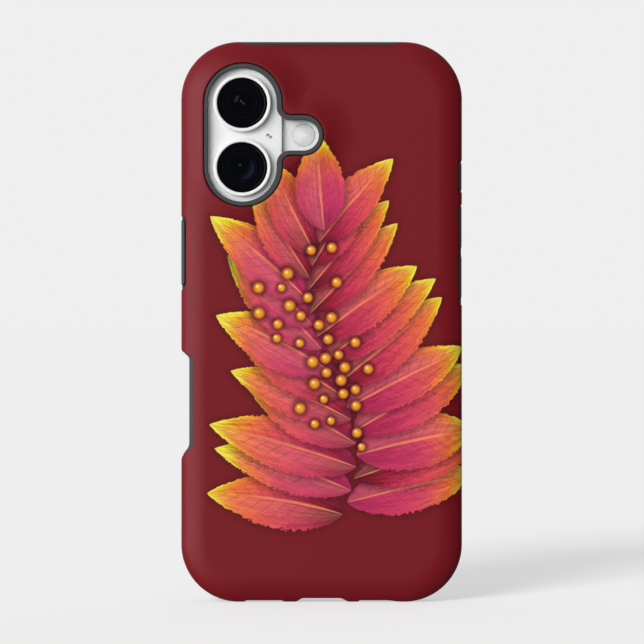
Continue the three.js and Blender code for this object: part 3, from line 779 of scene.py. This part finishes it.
liner_back, liner_floor, liner_front, lip_inset, bumper_edge = -3.7, -2.7, 6.25, 3.3, 1
gap = 0.1  # between the liner and its neighbours
collar_rim, collar_edge, collar_inner_x, collar_underside = 1.3, 0.25, -21.55, -4.3
bezel_grow, bezel_back = 2.4, -4.9
phone_back, phone_front, phone_inset, phone_edge = -2.55, 5.25, 2.4, 1.3
phone_corner = 14.3  # of the outline 2.4 outside the phone's own
plateau_x, plateau_half, step_room = -21.6, 9.8, 2
cover_back, cover_front, cover_root, cover_edge = -3.4, 4, -1.4, 0.35
right_cover_inset = 0.12
# Covers: the side they are on, and from and to up the case.
covers = [(-1, 86.2, 103.9), (1, 111.9, 119.4), (1, 96.2, 107.7), (1, 82.6, 94.1)]
charge_port_front, sound_port_front = 3.8, 3.3
camera_button_gap = ((-38.4, -34.6), (-2.1, phone_front + gap), (42.2, 67.3))


def stack(name, layers):
    """A closed solid through outlines of equally many points, each at its own place along y."""
    count = len(layers[0][0])
    corners = [(x, y, z) for outline, y in layers for x, z in outline]
    faces = [list(range(count)), list(range(len(corners) - 1, len(corners) - count - 1, -1))]
    for layer in range(len(layers) - 1):
        for k in range(count):
            a, b = layer * count + k, layer * count + (k + 1) % count
            faces.append([b, a, a + count, b + count])
    return new_object(name, corners, faces)


def straight_stack(outline, start, end):
    return stack("part", [(outline, start), (outline, end)])


def case_stack(layers, corner=case_corner):
    return stack("part", [(case_outline(inset, corner), y) for inset, y in layers])


def window_stack(layers, x=pill_x):
    return stack("part", [(window_outline(grow, window_hollow, x), y) for grow, y in layers])


def rounded_rows(inset, y, wide, deep, steps=8, backwards=False):
    """Insets and places round a rounded edge, from the flat face out to the side wall."""
    rows = [
        (inset + wide * (1 - math.sin(t)), y + deep * (1 - math.cos(t)))
        for t in np.linspace(0, math.pi / 2, steps + 1)
    ]
    return rows[::-1] if backwards else rows


def stadium(x, low, high, radius, steps=24):
    """An upright pill between two heights."""
    return arc(x, high, radius, 0, 180, steps) + arc(x, low, radius, 180, 360, steps)


def turned_solid(made, order):
    """Swaps a solid's axes round, for a stack that runs along x or z instead of y."""
    for vertex in made.data.vertices:
        vertex.co = [vertex.co[axis] for axis in order]
    return made


def block(limits_x, limits_y, limits_z):
    (x0, x1), (y0, y1), (z0, z1) = limits_x, limits_y, limits_z
    outline = [(x1, z0), (x1, z1), (x0, z1), (x0, z0)]
    return straight_stack(outline, y0, y1)


def combine(body, parts, operation):
    """Joins parts to a solid or cuts them from it, and removes the parts."""
    for part in parts:
        modifier = body.modifiers.new(part.name, "BOOLEAN")
        modifier.object, modifier.operation, modifier.solver = part, operation, "MANIFOLD"
    graph = bpy.context.evaluated_depsgraph_get()
    mesh = bpy.data.meshes.new_from_object(body.evaluated_get(graph))
    mesh.materials.clear()
    body.modifiers.clear()
    body.data = mesh
    for part in parts:
        bpy.data.objects.remove(part)
    return body


def smooth_faces(made, angle=32):
    """Soft shading over rounded faces, sharp where faces meet at more than the angle."""
    made.data.shade_smooth()
    made.data.set_sharp_from_angle(angle=math.radians(angle))
    weighted = made.modifiers.new("weighted", "WEIGHTED_NORMAL")
    weighted.keep_sharp = True
    return made


def dip_cut(dip, y0=-8, y1=8, deeper=None):
    edge, start, end, depth, ramp_start, ramp_end = dip
    outline = dip_outline((edge, start, end, deeper or depth, ramp_start, ramp_end))
    plan_area = sum(ax * bz - bx * az for (ax, az), (bx, bz) in zip(outline, outline[1:] + outline[:1]))
    return straight_stack(outline if plan_area > 0 else outline[::-1], y0, y1)


def port_cut(middle, half, back, radius, front):
    outline = rounded_box(middle - half, back, middle + half, front, radius)
    return turned_solid(straight_stack(outline, case_corner, -2), (0, 2, 1))


def cover_pad(side, low, high, back, inner, reach):
    """A pad with a soft rim, from inside the wall out to the case's side."""
    rows = rounded_rows(0, reach, cover_edge, -cover_edge, 4, backwards=True)
    layers = [
        (rounded_box(back + inset, low + inset, cover_front + 2, high - inset, 1), x)
        for inset, x in [(0.0, inner)] + rows
    ]
    pad = turned_solid(stack("part", layers), (1, 0, 2))
    if side < 0:
        for vertex in pad.data.vertices:
            vertex.co.x = -vertex.co.x
        return pad
    pad.data.flip_normals()
    return pad


def case_form():
    """The whole case's outer form, which the covers and the ridge are trimmed to."""
    rows = rounded_rows(0, shell_back, round_wide, round_deep, 12)
    return case_stack(rows + [(0, cover_front)])


inner_wall = shell_wall + gap
rows = rounded_rows(inner_wall, liner_back, round_wide - inner_wall, shell_back + round_deep - liner_back, 12)
bumper_back = shell_front + gap
front_rows = rounded_rows(0, liner_front, bumper_edge, -bumper_edge, 8, backwards=True)
soft_liner = case_stack(rows + [(inner_wall, bumper_back), (0, bumper_back)] + front_rows)
soft_liner.name = "soft_liner"

collar = rounded_rows(-gap, -liner_front, -collar_edge, collar_edge, 5)
ridge = combine(case_form(), [dip_cut(top_dip, -6, 6, top_dip[3] - gap)], "INTERSECT")
pads = []
for side, low, high in covers:
    reach = case_half if side < 0 else case_half - right_cover_inset
    pad = cover_pad(side, low, high, cover_back, case_half - shell_wall, reach)
    root = cover_pad(side, low, high, cover_root, case_half - inner_wall - 0.3, reach)
    pads.append(combine(combine(pad, [root], "UNION"), [case_form()], "INTERSECT"))
combine(soft_liner, [
    window_stack([(bezel_grow, bezel_back), (bezel_grow, liner_floor)]),
    window_stack(collar + [(-gap, liner_back + 0.2)]),
    ridge,
    *pads,
], "UNION")

phone_rows = rounded_rows(phone_inset - gap, phone_back - gap - 0.05, phone_edge, phone_edge, 5)
phone_rows += rounded_rows(phone_inset - gap, phone_front + gap, phone_edge, -phone_edge, 5, backwards=True)
lip = [
    (lip_inset, phone_front - 2), (lip_inset, liner_front - 0.4), (lip_inset - 0.08, liner_front - 0.15),
    (lip_inset - 0.3, liner_front + 0.01), (lip_inset - 0.3, liner_front + 2),
]
opening = [
    (0.25 - collar_rim, -liner_front - 2), (0.25 - collar_rim, -liner_front - 0.01),
    (0.07 - collar_rim, -liner_front + 0.1), (-collar_rim, -liner_front + 0.3), (-collar_rim, phone_back),
]
under_collar = stadium(plateau_x, pill_low, pill_high, plateau_half + step_room)
combine(soft_liner, [
    case_stack(phone_rows, phone_corner),
    case_stack(lip, phone_corner),
    window_stack(opening, collar_inner_x),
    straight_stack(under_collar, collar_underside, phone_back),
    dip_cut(camera_button_dip, deeper=2.2),
    block(*camera_button_gap),
    *[dip_cut(dip) for dip in bottom_dips],
    *[port_cut(*port, charge_port_front if port[0] == 0 else sound_port_front) for port in ports],
], "DIFFERENCE")
smooth_faces(soft_liner)

liner_material, shader, place = new_material("liner_rubber", Roughness=0.62, Specular_IOR_Level=0.3)
mottle = noise(place, 0.35, 3.0)
paint(shader, between(mottle, (0.044, 0.0455, 0.049, 1), (0.054, 0.0555, 0.0595, 1)))
grain = noise(place, 7.0, 4.0)
add_bump(shader, grain, 0.00003)
soft_liner.data.materials.append(liner_material)
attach(soft_liner, "cased_phone")
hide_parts("inner_liner")

# ---------------------------------------------------------------- back glass
# One piece of milky white glass, with a narrow steep step up to the pill under the lenses, and
# holes for the two camera barrels, the flash and the two microphone ports. Off the pill it is painted
# paler, a painted light against the shade beside the step; painted shade rings each microphone port.

glass_inset, glass_front = 3.7, -1.85
plateau_top = -4.15
barrel_hole, flash_hole = 5.9, 3.1
lens_places = {"upper": (-21.55, 135.57), "lower": (-21.55, 118.1)}
flash_x, flash_z = -4.85, 127
microphone_ports = [(-14.62, 126.95), (-13.85, 126.4)]
microphone_radius = 0.27
# The step's rows: how far out from the plateau's half width, and how much of the rise is left there.
# The last row lies inside the pane.
step_rows = [(0.9, 1), (0.96, 0.96), (1.02, 0.8), (1.08, 0.45), (1.14, 0.12), (1.22, 0), (1.8, -0.1875)]


def around(place, x, z):
    """Places in the plan, measured from a middle at x and z, and how far from it they are."""
    centred = add_node("VectorMath", {0: place, 1: (x, 0, z)}, operation="SUBTRACT").outputs[0]
    level = add_node("VectorMath", {0: centred, 1: (1, 0, 1)}, operation="MULTIPLY").outputs[0]
    return level, add_node("VectorMath", {0: level}, operation="LENGTH").outputs["Value"]


def circle(x, z, radius, steps):
    return arc(x, z, radius, 0, 360 - 360 / steps, steps - 1)


def round_bar(x, z, radius, y0, y1, steps=48):
    return straight_stack(circle(x, z, radius, steps), y0, y1)


rise = phone_back - plateau_top
plateau = stack("part", [
    (stadium(plateau_x, pill_low, pill_high, plateau_half + out), phone_back - rise * share)
    for out, share in step_rows
])
back_glass = case_stack([
    (glass_inset + 0.15, phone_back), (glass_inset + 0.04, phone_back + 0.04),
    (glass_inset, phone_back + 0.15), (glass_inset, glass_front),
], phone_corner)
back_glass.name = "back_glass_panel"
combine(back_glass, [plateau], "UNION")
combine(back_glass, [
    *[round_bar(x, z, barrel_hole, plateau_top - 1, 0, 64) for x, z in lens_places.values()],
    round_bar(flash_x, flash_z, flash_hole, phone_back - 1, 0),
    *[round_bar(x, z, microphone_radius, plateau_top - 1, 0, 16) for x, z in microphone_ports],
], "DIFFERENCE")
smooth_faces(back_glass, 40)

glass_material, shader, place = new_material(
    "white_back_glass", Roughness=0.3, Specular_IOR_Level=0.35, Coat_Weight=0.2, Coat_Roughness=0.08,
    Subsurface_Weight=0.4, Subsurface_Scale=0.002, Subsurface_Radius=(1, 1, 1))
apart = split(place)
clouds = noise(place, 0.12, 2.0)
colour = between(clouds, (0.86, 0.865, 0.87, 1), (0.90, 0.903, 0.907, 1))
# Painted light: off the pill the glass is painted paler, against the shade beside the step.
painted_light_off_plateau = faded(from_pill_line(apart, plateau_x), plateau_half + 0.7, plateau_half + 0.9)
colour = between(painted_light_off_plateau, colour, (0.99, 0.99, 0.99, 1))
# Painted shade: a grey halo darkens the glass round each microphone port.
for x, z in microphone_ports:
    _, away = around(place, x, z)
    colour = between(faded(away, 0.62, 0.3, 0.0, 0.55), colour, (0.30, 0.31, 0.32, 1))
paint(shader, colour)
etched = noise(place, 9.0, 2.0)
add_bump(shader, etched, 0.000004)
back_glass.data.materials.append(glass_material)
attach(back_glass, "cased_phone")
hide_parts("back_glass")

# ---------------------------------------------------------------- lens rings
# A white anodised bezel round each lens, turned, with a soft outer edge and a narrow groove inside.

ring_outer, ring_seat, ring_top, glass_radius, ring_shelf = 7.8, 6.2, -6.05, 6.8, -5.2
ring_foot = plateau_top - 0.05
ring_soft = 0.28


def turned_ring(name, profile, x, z, steps=96):
    """A closed profile of (radius, y) points turned about an axis along y."""
    count = len(profile)
    corners = [
        (x + radius * math.cos(turn), y, z + radius * math.sin(turn))
        for turn in np.linspace(0, 2 * math.pi, steps, endpoint=False)
        for radius, y in profile
    ]
    faces = []
    for step in range(steps):
        for k in range(count):
            a, b = step * count + k, step * count + (k + 1) % count
            c, d = ((step + 1) % steps) * count + (k + 1) % count, ((step + 1) % steps) * count + k
            faces.append([a, d, c, b])
    return new_object(name, corners, faces)


ring_profile = (
    [(ring_seat, ring_foot), (ring_outer - 0.05, ring_foot), (ring_outer, ring_foot - 0.05)]
    + rounded_rows(ring_outer, ring_top, -ring_soft, ring_soft, 5, backwards=True)
    + [(glass_radius + 0.22, ring_top), (glass_radius + 0.12, ring_top + 0.03)]
    + [(glass_radius + 0.07, ring_top + 0.12), (glass_radius + 0.07, ring_shelf), (ring_seat, ring_shelf)]
)
ring_material, shader, place = new_material("white_lens_ring", Roughness=0.36, Specular_IOR_Level=0.5)
satin = noise(place, 3.0, 4.0)
paint(shader, between(satin, (0.84, 0.835, 0.82, 1), (0.88, 0.875, 0.86, 1)))
add_bump(shader, satin, 0.000006)
for lens, (x, z) in lens_places.items():
    ring = turned_ring(f"{lens}_bezel", ring_profile, x, z)
    smooth_faces(ring, 50)
    ring.data.materials.append(ring_material)
    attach(ring, "cased_phone")
    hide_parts(f"{lens}_lens_ring")

# ---------------------------------------------------------------- lens covers
# Flat dark glass, coated against reflections. Painted on it: faint rings where the lens barrel steps
# down, a painted reflection of the bezel as an arc on the right, small grey painted glints, and painted
# reflections of the front element, a blue-grey crescent in the lower lens and an olive streak in the upper
# one.

cover_top, cover_foot, cover_soft = -5.85, -5.25, 0.12
element_radius = 2.7
lens_steps = 96

cover_rows = rounded_rows(glass_radius, cover_top, -cover_soft, cover_soft, 4) + [(glass_radius, cover_foot)]
for lens, (x, z) in lens_places.items():
    cover = stack(f"{lens}_lens_cover", [(circle(x, z, radius, lens_steps), y) for radius, y in cover_rows])
    smooth_faces(cover, 50)
    material, shader, place = new_material(
        f"dark_lens_glass_{lens}", Roughness=0.06, Specular_IOR_Level=0.06)
    level, radius = around(place, x, z)
    steps = calculate("SINE", times(radius, 5.2))
    ringed = faded(steps, 0.55, 1.0, 0.0, 0.5)
    ringed = times(ringed, faded(radius, element_radius, element_radius + 0.4))
    ringed = times(ringed, faded(radius, 5.6, 5.0))
    colour = between(ringed, (0.0022, 0.0025, 0.0042, 1), (0.0075, 0.008, 0.011, 1))
    apart = split(level)
    # A painted reflection: a thin grey arc on the right, where the bezel is mirrored in the barrel's rim.
    bezel_reflection = times(faded(radius, 5.95, 6.15), faded(radius, 6.4, 6.2))
    bezel_reflection = times(bezel_reflection, faded(apart["X"], 1.5, 5.0, 0.0, 0.8))
    colour = between(bezel_reflection, colour, (0.028, 0.029, 0.031, 1))
    # Painted reflections of the front element: a blue-grey crescent in the lower lens, an olive streak in the
    # upper one.
    if lens == "lower":
        lean = minus(times(apart["X"], 0.85), times(apart["Z"], 0.5))
        shine = times(faded(radius, 0.9, 2.9), faded(radius, 3.6, 3.1))
        shine = times(shine, faded(lean, 0.4, 2.9))
        reflection_tint, painted_glints = (0.0105, 0.0125, 0.029, 1), [(-0.6, 0.7, 0.5, 0.35)]
    else:
        above = minus(apart["Z"], 1.1)
        lean = calculate("ABSOLUTE", plus(plus(apart["X"], 1.5), times(above, -0.4)))
        above = calculate("ABSOLUTE", above)
        shine = times(faded(lean, 0.6, 0.25), faded(above, 1.1, 0.6))
        reflection_tint, painted_glints = (0.024, 0.022, 0.011, 1), [(-0.3, 0.5, 0.32, 1.0), (0.35, -0.1, 0.5, 0.4)]
    colour = between(shine, colour, reflection_tint)
    # Small painted grey glints on the glass.
    for spot_x, spot_z, spot_radius, strength in painted_glints:
        away = distance_to(level, (spot_x, 0, spot_z))
        glint_mask = faded(away, spot_radius, spot_radius * 0.3, 0.0, strength)
        colour = between(glint_mask, colour, (0.08, 0.085, 0.07, 1))
    paint(shader, colour)
    cover.data.materials.append(material)
    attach(cover, "cased_phone")
    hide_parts(f"{lens}_lens_glass")

# ---------------------------------------------------------------- flash
# A milky diffuser with pressed rings, flush in the back glass. The glow of the two warm lamps under
# it is painted on it.

flash_radius, flash_back, flash_rings = 3.05, -2.65, 5
lamp_places = [(-0.35, -0.1, (0.88, 0.80, 0.68)), (0.35, 0.1, (0.98, 0.95, 0.86))]

rows = [(0.0, flash_back + 0.06)]
for ring in range(flash_rings):
    start = 0.75 + ring * 0.45
    rows += [(start, flash_back + 0.02), (start + 0.38, flash_back + 0.10), (start + 0.41, flash_back + 0.02)]
rows += [
    (flash_radius - 0.12, flash_back), (flash_radius - 0.03, flash_back + 0.03),
    (flash_radius, flash_back + 0.12), (flash_radius, glass_front),
]
outlines = [(circle(flash_x, flash_z, max(radius, 0.05), 64), y) for radius, y in rows]
diffuser = stack("flash_diffuser", outlines)
smooth_faces(diffuser, 30)
material, shader, place = new_material("flash_glass", Roughness=0.22, Specular_IOR_Level=0.4)
level, radius = around(place, flash_x, flash_z)
frost = noise(place, 1.4, 2.0)
colour = between(faded(radius, 0.9, 2.7), (0.74, 0.745, 0.735, 1), (0.64, 0.665, 0.67, 1))
rim = times(faded(radius, 2.75, 2.95), faded(radius, 3.14, 3.05))
colour = between(times(rim, 0.55), colour, (0.50, 0.53, 0.54, 1))
colour = between(faded(frost, 0.35, 0.7, 0.0, 0.12), colour, (0.92, 0.93, 0.93, 1))
for lamp_x, lamp_z, lamp_colour in lamp_places:
    away = distance_to(level, (lamp_x, 0, lamp_z))
    colour = between(faded(away, 0.7, 0.2, 0.0, 0.6), colour, (*lamp_colour, 1))
paint(shader, colour)
diffuser.data.materials.append(material)
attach(diffuser, "cased_phone")
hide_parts("flash_window")

# ---------------------------------------------------------------- cover glass
# The screen's clear cover, its front edge rounded over, painted black behind its border and
# behind the pill that hides the front camera.

cover_back, cover_face = 4.5, 5.25
border_wide, border_corner = 1.6, 9
island_half, island_radius, island_x, island_z = 3.6, 2.9, 0.0, 141.5
slot_half, slot_z, slot_high = 5, 148.2, 0.22

face_rows = rounded_rows(glass_inset, cover_face, 0.7, -0.32, 6, backwards=True)
cover_glass = case_stack([(glass_inset, cover_back)] + face_rows, phone_corner)
cover_glass.name = "cover_glass"
combine(cover_glass, [
    block((-slot_half, slot_half), (cover_back - 1, cover_face + 1), (slot_z, slot_z + slot_high + 1)),
], "DIFFERENCE")
smooth_faces(cover_glass, 40)


def rounded_box_distance(x, z, half_x, half_z, radius):
    """How far a place is outside a rounded box centred on the origin."""
    sides = []
    for value, half in ((x, half_x), (z, half_z)):
        beyond = minus(calculate("ABSOLUTE", value), half - radius)
        sides.append(calculate("MAXIMUM", beyond, 0.0))
    return minus(straight_line(*sides), radius)


cover_material, shader, place = new_material(
    "display_glass", Roughness=0.03, IOR=1.5, Transmission_Weight=1.0, Specular_IOR_Level=0.3)
apart = split(place)
from_middle = minus(apart["Z"], case_height / 2)
border = rounded_box_distance(
    apart["X"], from_middle, case_half - glass_inset - border_wide,
    case_height / 2 - glass_inset - border_wide, border_corner)
island = rounded_box_distance(
    minus(apart["X"], island_x), minus(apart["Z"], island_z),
    island_half * 2.4, island_radius, island_radius)
painted = calculate("MAXIMUM", faded(border, -0.03, 0.03), faded(island, 0.03, -0.03))
smears = noise(place, 0.05, 3.0)
feed(shader.inputs["Roughness"], faded(smears, 0.4, 0.8, 0.02, 0.09))
feed(shader.inputs["Transmission Weight"], minus(1.0, painted))
paint(shader, between(painted, (0.97, 0.98, 0.98, 1), (0.004, 0.004, 0.005, 1)))
cover_glass.data.materials.append(cover_material)
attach(cover_glass, "cased_phone")
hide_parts("display_glass")

# ---------------------------------------------------------------- screen
# The switched-off panel under the cover glass: black, with its fine grid of picture dots.


def dress(nodes, material):
    """Gives solids that keep their own shape a material."""
    for name in nodes:
        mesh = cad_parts[name].data
        mesh.materials.clear()
        mesh.materials.append(material)


def grid(place, wide, high, joint, *colours):
    """Rows of small fields in two colours, with a third in the joints between them."""
    apart = split(place)
    values = {
        "Vector": add_node("CombineXYZ", {"X": apart["X"], "Y": apart["Z"]}).outputs[0],
        "Scale": 1.0, "Brick Width": wide, "Row Height": high, "Mortar Size": joint,
    }
    for name, colour in zip(("Color1", "Color2", "Mortar"), colours):
        values[name] = (*colour, 1)
    return add_node("TexBrick", values).outputs


material, shader, place = new_material("dark_screen", Roughness=0.12, Specular_IOR_Level=0.12)
dot_colours = (0.004, 0.004, 0.006), (0.005, 0.004, 0.005), (0.0015, 0.0015, 0.002)
dots = grid(place, 0.12, 0.12, 0.02, *dot_colours)
paint(shader, dots["Color"])
dress(["display_panel"], material)

# ---------------------------------------------------------------- phone frame and keys
# Blasted and anodised aluminium. Thin plastic bands cross the frame near its corners.

band_places, band_half = (17.0, 135.0), 0.6


def grained(name, first, second, scale, relief, stretch=(1, 1, 1), detail=4.0, **look):
    """A material with two tones and a fine relief that follow one grain."""
    material, shader, place = new_material(name, **look)
    drawn = add_node("VectorMath", {0: place, 1: stretch}, operation="MULTIPLY").outputs[0]
    grain = noise(drawn, scale, detail)
    tone = faded(grain, 0.3, 0.7)
    paint(shader, between(tone, (*first, 1), (*second, 1)))
    add_bump(shader, grain, relief)
    return material, shader, place


material, shader, place = grained(
    "phone_aluminium", (0.70, 0.71, 0.73), (0.76, 0.77, 0.79), 6.0, 0.000012,
    Roughness=0.38, Metallic=1.0)
dress(["side_button", "action_button", "volume_up_button", "volume_down_button", "camera_button"], material)
material, shader, place = grained(
    "frame_aluminium", (0.68, 0.69, 0.71), (0.75, 0.76, 0.78), 6.0, 0.000012,
    Roughness=0.40, Metallic=1.0)
height = split(place)["Z"]
metal = 1.0
for band in band_places:
    off_band = calculate("ABSOLUTE", minus(height, band))
    metal = times(faded(off_band, band_half - 0.03, band_half + 0.03), metal)
feed(shader.inputs["Metallic"], metal)
dress(["phone_frame"], material)

# ---------------------------------------------------------------- camera barrels
# Black moulded lens barrels, with the fine ribs that keep stray light down.

material, shader, place = new_material("black_moulding", Roughness=0.5, Specular_IOR_Level=0.35)
speckle = noise(place, 5.0, 3.0)
paint(shader, between(speckle, (0.012, 0.013, 0.015, 1), (0.024, 0.025, 0.028, 1)))
ribs = calculate("SINE", times(split(place)["Y"], 14.0))
add_bump(shader, plus(ribs, speckle), 0.00003)
dress(["upper_camera_module", "lower_camera_module"], material)

# ---------------------------------------------------------------- flash lamp
# Two phosphor faces side by side on a white base, under the diffuser.

material, shader, place = new_material("lamp_phosphor", Roughness=0.6)
across = split(place)["X"]
speckle = noise(place, 9.0, 2.0)
faces = calculate("ABSOLUTE", minus(across, flash_x))
colour = between(speckle, (0.86, 0.72, 0.30, 1), (0.93, 0.82, 0.42, 1))
colour = between(faded(faces, 0.1, 0.05), colour, (0.8, 0.8, 0.78, 1))
paint(shader, colour)
add_bump(shader, speckle, 0.00002)
dress(["flash_lamp"], material)

# ---------------------------------------------------------------- steel parts
# Pressed and turned steel: the charge socket, the two bottom screws, the shield over the board,
# the magnets round the coil, the microphone's can and the haptic motor, brushed along their length.

material, shader, place = grained(
    "steel_parts", (0.40, 0.42, 0.44), (0.52, 0.54, 0.56), 2.2, 0.00001, stretch=(1, 1, 0.08),
    Roughness=0.34, Metallic=1.0)
dress(["charge_socket", "left_bottom_screw", "right_bottom_screw", "shield_can", "magnet_ring",
       "rear_microphone", "haptic_motor"], material)

# ---------------------------------------------------------------- copper parts
# The charging coil's windings, wound in fine turns, and the two key strips' tracks.

coil_x, coil_z = 0, 70
material, shader, place = new_material("flex_copper", Roughness=0.35, Metallic=1.0)
_, radius = around(place, coil_x, coil_z)
turns = calculate("SINE", times(radius, 12.0))
windings = faded(turns, -1.0, 0.2)
paint(shader, between(windings, (0.16, 0.05, 0.02, 1), (0.50, 0.18, 0.065, 1)))
add_bump(shader, turns, 0.00006)
dress(["charging_coil", "left_key_flex", "right_key_flex"], material)

# ---------------------------------------------------------------- battery
# A dark laminated pouch with the slight ripples of its foil.

material, shader, place = grained(
    "battery_foil", (0.016, 0.017, 0.019), (0.030, 0.031, 0.035), 0.12, 0.00012, detail=5.0,
    Roughness=0.3, Specular_IOR_Level=0.5)
dress(["battery"], material)

# ---------------------------------------------------------------- circuit board
# Dark green laminate with paler tracks that run straight across it.

material, shader, place = new_material("board_laminate", Roughness=0.45)
board_colours = (0.010, 0.036, 0.021), (0.014, 0.050, 0.029), (0.06, 0.12, 0.045)
tracks = grid(place, 3.1, 0.9, 0.07, *board_colours)
paint(shader, tracks["Color"])
add_bump(shader, tracks["Fac"], 0.00004)
dress(["logic_board"], material)

# ---------------------------------------------------------------- small housings
# The loudspeaker, earpiece and front camera, in black plastic with a spark-eroded grain.

material, shader, place = grained(
    "black_housing", (0.011, 0.012, 0.013), (0.022, 0.023, 0.026), 4.5, 0.00003,
    Roughness=0.55, Specular_IOR_Level=0.35)
dress(["loudspeaker", "earpiece", "front_camera"], material)

low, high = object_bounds()
